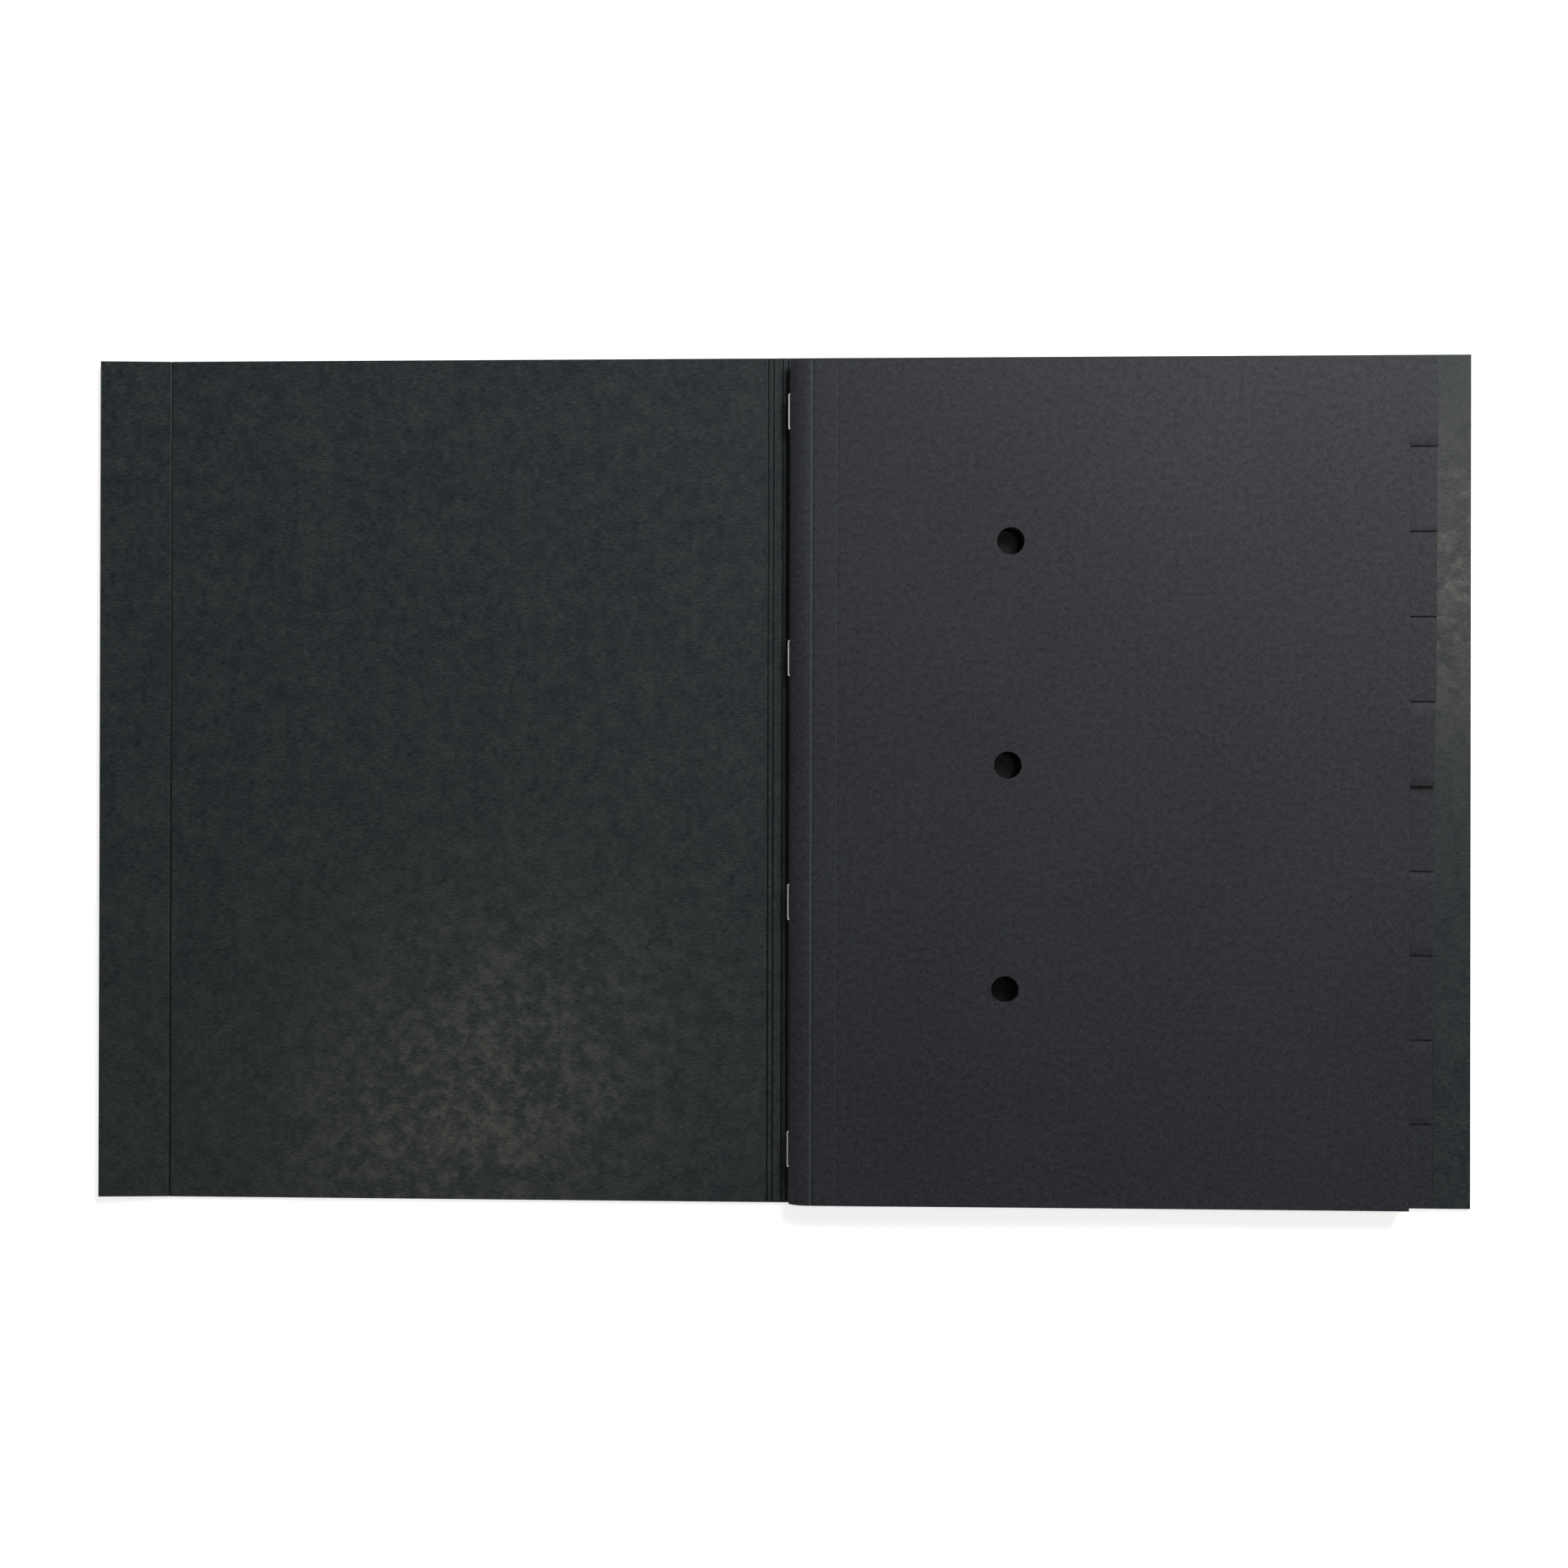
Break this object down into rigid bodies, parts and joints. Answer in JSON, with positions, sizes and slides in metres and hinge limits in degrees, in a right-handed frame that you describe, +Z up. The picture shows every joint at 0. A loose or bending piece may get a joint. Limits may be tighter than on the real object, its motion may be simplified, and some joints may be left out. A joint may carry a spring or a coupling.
{
  "type": "stapled divider book",
  "caption": "Black A4 divider book: tabbed card leaves with viewing holes, stapled through the fold into an open hinged pressboard cover.",
  "frame": {"origin": "centre of the open book's footprint, on the surface it lies on", "axes": "+X from the spine to the back cover's fore edge, +Y to the head of the pages, +Z up"},
  "size_m": [0.5194, 0.32, 0.0056],
  "materials": {
    "pressboard": "mottled semi-gloss",
    "leaf_card": "matte, fine fibres",
    "staple_wire": "bright",
    "paste": "matte"
  },
  "bodies": {
    "back_half": {"back_cover": "pressboard", "paste_film": "paste", "divider_10": "leaf_card", "sheet_fold_1": "leaf_card", "sheet_fold_2": "leaf_card", "sheet_fold_3": "leaf_card", "sheet_fold_4": "leaf_card", "sheet_fold_5": "leaf_card", "staple_1": "staple_wire", "staple_2": "staple_wire", "staple_3": "staple_wire", "staple_4": "staple_wire"},
    "spine_strip_back": {"spine_strip_back": "pressboard"},
    "spine_strip_middle": {"spine_strip_middle": "pressboard"},
    "spine_strip_front": {"spine_strip_front": "pressboard"},
    "front_cover": {"front_cover": "pressboard"},
    "front_cover_flap": {"front_cover_flap": "pressboard"},
    "divider_09": {"divider_09": "leaf_card"},
    "divider_08": {"divider_08": "leaf_card"},
    "divider_07": {"divider_07": "leaf_card"},
    "divider_06": {"divider_06": "leaf_card"},
    "divider_05": {"divider_05": "leaf_card"},
    "divider_04": {"divider_04": "leaf_card"},
    "divider_03": {"divider_03": "leaf_card"},
    "divider_02": {"divider_02": "leaf_card"},
    "divider_01": {"divider_01": "leaf_card"}
  },
  "joints": [
    {"name": "spine_back_crease", "type": "hinge", "parent": "back_half", "child": "spine_strip_back", "pos_m": [0.0037, 0, 0.0006], "axis": [0, -1, 0], "range_deg": [-45, 0]},
    {"name": "spine_middle_crease", "type": "hinge", "parent": "spine_strip_back", "child": "spine_strip_middle", "pos_m": [0.0017, 0, 0.0006], "axis": [0, -1, 0], "range_deg": [-45, 0]},
    {"name": "spine_front_crease", "type": "hinge", "parent": "spine_strip_middle", "child": "spine_strip_front", "pos_m": [-0.0017, 0, 0.0006], "axis": [0, -1, 0], "range_deg": [-45, 0]},
    {"name": "front_cover_crease", "type": "hinge", "parent": "spine_strip_front", "child": "front_cover", "pos_m": [-0.0037, 0, 0.0006], "axis": [0, -1, 0], "range_deg": [-45, 0]},
    {"name": "flap_hinge", "type": "hinge", "parent": "front_cover", "child": "front_cover_flap", "pos_m": [-0.2327, 0, 0.0006], "axis": [0, 1, 0], "range_deg": [-2.5, 95]},
    {"name": "turn_09", "type": "hinge", "parent": "back_half", "child": "divider_09", "pos_m": [0.007, 0, 0.00317], "axis": [0, -1, 0], "range_deg": [0, 179.98]},
    {"name": "turn_08", "type": "hinge", "parent": "divider_09", "child": "divider_08", "pos_m": [0.007, 0, 0.00317], "axis": [0, -1, 0], "range_deg": [0, 179.98]},
    {"name": "turn_07", "type": "hinge", "parent": "divider_08", "child": "divider_07", "pos_m": [0.007, 0, 0.00317], "axis": [0, -1, 0], "range_deg": [0, 179.98]},
    {"name": "turn_06", "type": "hinge", "parent": "divider_07", "child": "divider_06", "pos_m": [0.007, 0, 0.00317], "axis": [0, -1, 0], "range_deg": [0, 179.98]},
    {"name": "turn_05", "type": "hinge", "parent": "divider_06", "child": "divider_05", "pos_m": [0.007, 0, 0.00317], "axis": [0, -1, 0], "range_deg": [0, 179.98]},
    {"name": "turn_04", "type": "hinge", "parent": "divider_05", "child": "divider_04", "pos_m": [0.007, 0, 0.00317], "axis": [0, -1, 0], "range_deg": [0, 179.98]},
    {"name": "turn_03", "type": "hinge", "parent": "divider_04", "child": "divider_03", "pos_m": [0.007, 0, 0.00317], "axis": [0, -1, 0], "range_deg": [0, 179.98]},
    {"name": "turn_02", "type": "hinge", "parent": "divider_03", "child": "divider_02", "pos_m": [0.007, 0, 0.00317], "axis": [0, -1, 0], "range_deg": [0, 179.98]},
    {"name": "turn_01", "type": "hinge", "parent": "divider_02", "child": "divider_01", "pos_m": [0.007, 0, 0.00317], "axis": [0, -1, 0], "range_deg": [0, 179.98]}
  ]
}
